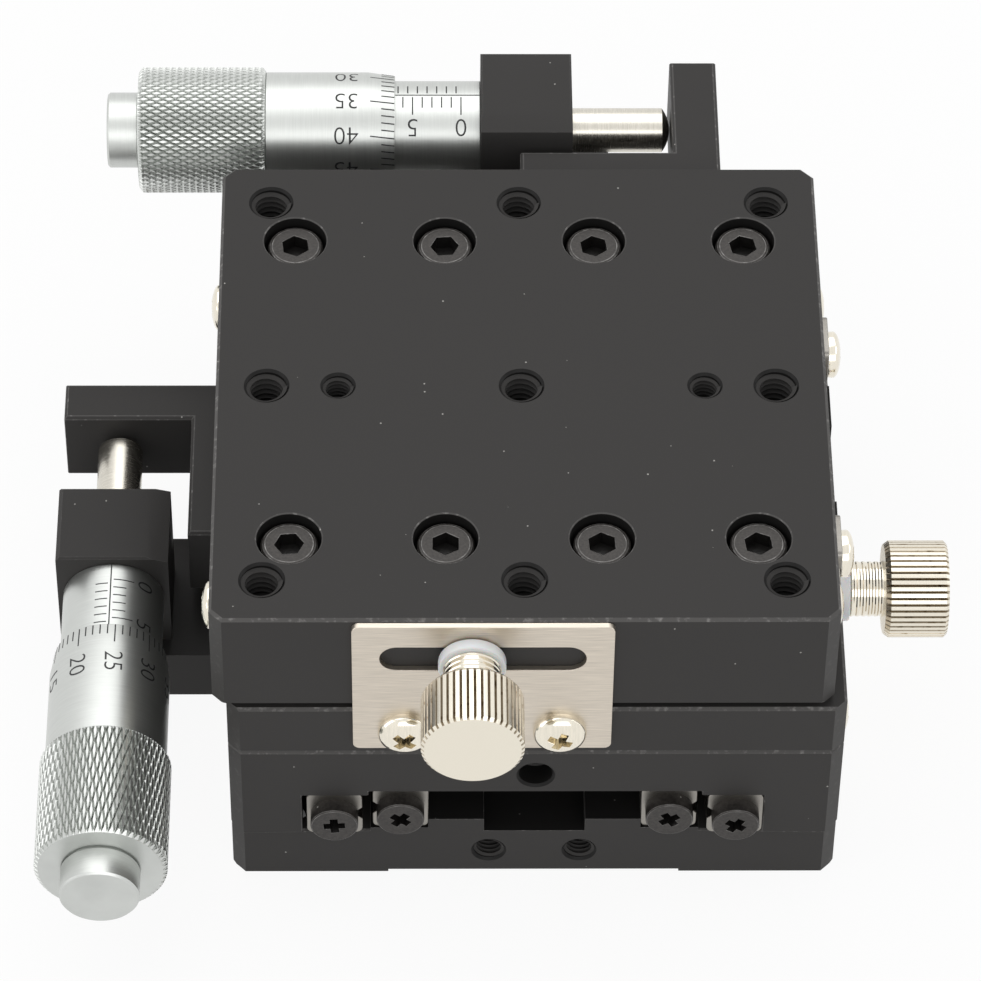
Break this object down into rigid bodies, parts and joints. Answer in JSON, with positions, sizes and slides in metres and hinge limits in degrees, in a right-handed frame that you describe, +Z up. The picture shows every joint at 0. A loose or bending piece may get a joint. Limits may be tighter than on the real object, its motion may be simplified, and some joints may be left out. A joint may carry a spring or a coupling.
{
  "type": "mechanical microscope stage",
  "caption": "Square two-axis microscope stage: stacked crossed-roller slides, each driven by a side micrometer against a return spring and held by a thumb screw lock.",
  "frame": {"origin": "centre of the lower base's underside, between its four corner bolt holes", "axes": "+Z up out of the table; +X along the upper stage's travel, away from its thimble; +Y along the lower stage's travel, away from its thimble"},
  "size_m": [0.0905, 0.0912, 0.04],
  "materials": {
    "black_anodised": "fine blasted and black anodised, satin",
    "ground_steel": "ground, satin",
    "black_oxide_screw": "black oxide, slightly oiled",
    "satin_chrome": "satin chrome plated",
    "spindle_steel": "ground and lapped",
    "stainless_plate": "brushed along its length",
    "nickel": "nickel plated, warm and bright",
    "white_nylon": "plain, slightly translucent white",
    "spring_steel": "bright drawn wire",
    "cage_brass": "punched sheet"
  },
  "bodies": {
    "lower_base": {"lower_base_plate": "black_anodised", "lower_base_rails": "ground_steel", "lower_base_rail_screws": "black_oxide_screw", "lower_base_end_screws": "black_oxide_screw", "lower_micrometer_holder": "black_anodised", "lower_holder_screws": "black_oxide_screw", "lower_micrometer_sleeve": "satin_chrome", "lower_sleeve_set_screw": "black_oxide_screw", "lower_lock_plate": "stainless_plate", "lower_lock_plate_screws": "nickel", "lower_spring_pin_base": "ground_steel", "lower_return_spring": "spring_steel"},
    "lower_cages": {"lower_roller_cages": "cage_brass", "lower_rollers": "ground_steel"},
    "lower_table": {"lower_table_plate": "black_anodised", "lower_table_rails": "ground_steel", "lower_table_rail_screws": "black_oxide_screw", "lower_table_end_screws": "black_oxide_screw", "lower_anvil_bracket": "black_anodised", "lower_anvil_screws": "black_oxide_screw", "lower_preload_screws": "black_oxide_screw", "lower_spring_pin_table": "ground_steel", "upper_base_plate": "black_anodised", "upper_base_rails": "ground_steel", "upper_base_rail_screws": "black_oxide_screw", "upper_base_end_screws": "nickel", "upper_micrometer_holder": "black_anodised", "upper_holder_screws": "black_oxide_screw", "upper_micrometer_sleeve": "satin_chrome", "upper_sleeve_set_screw": "black_oxide_screw", "upper_lock_plate": "stainless_plate", "upper_lock_plate_screws": "nickel", "upper_spring_pin_base": "ground_steel", "upper_return_spring": "spring_steel", "stack_screws": "black_oxide_screw"},
    "lower_thimble": {"lower_spindle": "spindle_steel", "lower_thimble": "satin_chrome", "lower_thimble_cap": "satin_chrome"},
    "lower_lock_washer": {"lower_lock_washer": "white_nylon"},
    "lower_lock_screw": {"lower_lock_screw": "nickel"},
    "upper_cages": {"upper_roller_cages": "cage_brass", "upper_rollers": "ground_steel"},
    "upper_table": {"upper_table_plate": "black_anodised", "upper_table_rails": "ground_steel", "upper_table_rail_screws": "black_oxide_screw", "upper_table_end_screws": "nickel", "upper_anvil_bracket": "black_anodised", "upper_anvil_screws": "black_oxide_screw", "upper_preload_screws": "black_oxide_screw", "upper_spring_pin_table": "ground_steel"},
    "upper_thimble": {"upper_spindle": "spindle_steel", "upper_thimble": "satin_chrome", "upper_thimble_cap": "satin_chrome"},
    "upper_lock_washer": {"upper_lock_washer": "white_nylon"},
    "upper_lock_screw": {"upper_lock_screw": "nickel"}
  },
  "joints": [
    {"name": "lower_travel", "type": "slide", "parent": "lower_base", "child": "lower_table", "axis": [0, 1, 0], "range_m": [-0.00675, 0.00625], "deforming": ["lower_return_spring"]},
    {"name": "lower_cage_travel", "type": "slide", "parent": "lower_base", "child": "lower_cages", "axis": [0, 1, 0], "range_m": [-0.00338, 0.00312]},
    {"name": "lower_micrometer", "type": "hinge", "parent": "lower_table", "child": "lower_thimble", "pos_m": [-0.0423, -0.015, 0.01308], "axis": [0, -1, 0], "range_deg": [-4497.62, 4863.38]},
    {"name": "lower_lock_travel", "type": "slide", "parent": "lower_table", "child": "lower_lock_washer", "axis": [-1, 0, 0], "range_m": [-0.001, 0.0001]},
    {"name": "lower_lock_turn", "type": "hinge", "parent": "lower_lock_washer", "child": "lower_lock_screw", "pos_m": [0.03, -0.00575, 0.015], "axis": [-1, 0, 0], "range_deg": [-720.5, 72.5]},
    {"name": "upper_travel", "type": "slide", "parent": "lower_table", "child": "upper_table", "axis": [1, 0, 0], "range_m": [-0.00617, 0.00683], "deforming": ["upper_return_spring"]},
    {"name": "upper_cage_travel", "type": "slide", "parent": "lower_table", "child": "upper_cages", "axis": [1, 0, 0], "range_m": [-0.00308, 0.00342]},
    {"name": "upper_micrometer", "type": "hinge", "parent": "upper_table", "child": "upper_thimble", "pos_m": [-0.015, 0.04155, 0.03308], "axis": [-1, 0, 0], "range_deg": [-4921.7, 4439.3]},
    {"name": "upper_lock_travel", "type": "slide", "parent": "upper_table", "child": "upper_lock_washer", "axis": [0, 1, 0], "range_m": [-0.001, 0.0001]},
    {"name": "upper_lock_turn", "type": "hinge", "parent": "upper_lock_washer", "child": "upper_lock_screw", "pos_m": [-0.00634, -0.03075, 0.035], "axis": [0, 1, 0], "range_deg": [-720.5, 72.5]}
  ],
  "couplings": [
    {"joint": "lower_micrometer", "follows": "lower_travel", "rad_per_m": -12566},
    {"joint": "lower_cage_travel", "follows": "lower_travel", "ratio": 0.5},
    {"joint": "lower_lock_turn", "follows": "lower_lock_travel", "rad_per_m": 12566},
    {"joint": "upper_micrometer", "follows": "upper_travel", "rad_per_m": -12566},
    {"joint": "upper_cage_travel", "follows": "upper_travel", "ratio": 0.5},
    {"joint": "upper_lock_turn", "follows": "upper_lock_travel", "rad_per_m": 12566}
  ]
}
